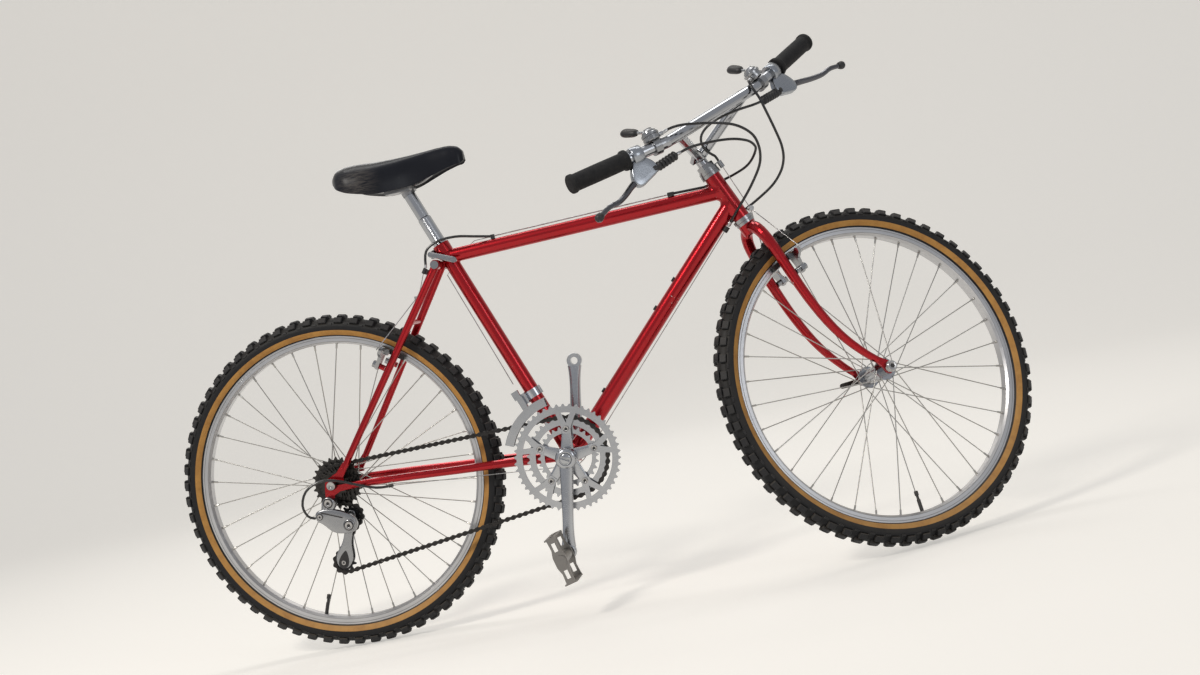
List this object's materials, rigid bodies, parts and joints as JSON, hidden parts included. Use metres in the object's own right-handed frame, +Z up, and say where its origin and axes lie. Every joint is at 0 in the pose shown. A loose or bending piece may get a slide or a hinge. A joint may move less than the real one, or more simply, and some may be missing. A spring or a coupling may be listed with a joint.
{
  "type": "mountain bicycle",
  "caption": "Rigid mountain bicycle with a diamond frame, cantilever brakes, derailleur gears, knobbly tyres and a wide braced bar turned to one side; its left pedal is missing.",
  "frame": {"origin": "top of the saddle above its clamp, where the rider sits", "axes": "+X forward, +Y to the rider's left, +Z up"},
  "size_m": [1.6724, 0.4965, 0.9916],
  "materials": {
    "red_paint": "metallic gloss",
    "silver_alloy": "polished",
    "dark_alloy": "black anodised",
    "steel_wire": "drawn",
    "dark_steel": "oiled",
    "black_plastic": "moulded",
    "foam_rubber": "foam",
    "saddle_vinyl": "scuffed vinyl",
    "tyre_rubber": "black tread with tan sidewall"
  },
  "bodies": {
    "frame": {"head_tube": "red_paint", "top_tube": "red_paint", "down_tube": "red_paint", "seat_tube": "red_paint", "bottom_bracket_shell": "red_paint", "seat_stays": "red_paint", "chain_stays": "red_paint", "rear_dropouts": "red_paint", "stay_bridges": "red_paint", "headset_cups": "silver_alloy", "seat_post": "silver_alloy", "seat_binder": "silver_alloy", "saddle": "saddle_vinyl", "saddle_rails": "silver_alloy", "saddle_clamp": "silver_alloy", "front_derailleur": "silver_alloy", "rear_derailleur": "silver_alloy", "derailleur_cage": "dark_alloy", "jockey_wheels": "black_plastic", "chain": "dark_steel", "sprockets": "dark_steel", "rear_brake_arms": "silver_alloy", "rear_brake_pads": "black_plastic", "rear_brake_cable": "black_plastic", "gear_wires": "black_plastic", "cable_stops": "black_plastic", "rear_axle": "silver_alloy", "rear_brake_housing": "black_plastic", "rear_shift_housing": "black_plastic", "front_shift_housing": "black_plastic"},
    "steering": {"fork_crown": "red_paint", "fork_blades": "red_paint", "fork_dropouts": "red_paint", "headset_races": "silver_alloy", "stem": "silver_alloy", "handlebar": "silver_alloy", "grips": "foam_rubber", "brake_perches": "silver_alloy", "brake_levers": "dark_alloy", "shifter_bodies": "silver_alloy", "shifter_levers": "black_plastic", "cable_bellows": "black_plastic", "front_brake_arms": "silver_alloy", "front_brake_pads": "black_plastic", "front_brake_cable": "black_plastic", "front_axle": "silver_alloy"},
    "front_wheel": {"front_tyre": "tyre_rubber", "front_rim": "silver_alloy", "front_spokes": "steel_wire", "front_hub": "silver_alloy"},
    "rear_wheel": {"rear_tyre": "tyre_rubber", "rear_rim": "silver_alloy", "rear_spokes": "steel_wire", "rear_hub": "silver_alloy"},
    "crankset": {"crank_right": "silver_alloy", "chainrings": "silver_alloy", "crank_left": "silver_alloy", "crank_spindle": "dark_steel", "pedal_axle": "dark_steel"},
    "right_pedal": {"pedal_cage": "silver_alloy"}
  },
  "joints": [
    {"name": "steering", "type": "hinge", "parent": "frame", "child": "steering", "pos_m": [0.5946, 0, -0.1662], "axis": [-0.4035, 0, 0.915], "range_deg": [-40, 30], "deforming": ["rear_brake_housing", "rear_shift_housing", "front_shift_housing"]},
    {"name": "front_wheel_spin", "type": "hinge", "parent": "steering", "child": "front_wheel", "pos_m": [0.8197, 0.02003, -0.59393], "axis": [-0.4712, 0.8572, -0.2078], "continuous": true},
    {"name": "rear_wheel_spin", "type": "hinge", "parent": "frame", "child": "rear_wheel", "pos_m": [-0.23849, 0, -0.5917], "axis": [0, 1, 0], "continuous": true},
    {"name": "crank_spin", "type": "hinge", "parent": "frame", "child": "crankset", "pos_m": [0.22, 0, -0.629], "axis": [0, 1, 0], "continuous": true},
    {"name": "pedal_spin", "type": "hinge", "parent": "crankset", "child": "right_pedal", "pos_m": [0.19051, -0.13, -0.8015], "axis": [0, 1, 0], "continuous": true}
  ]
}
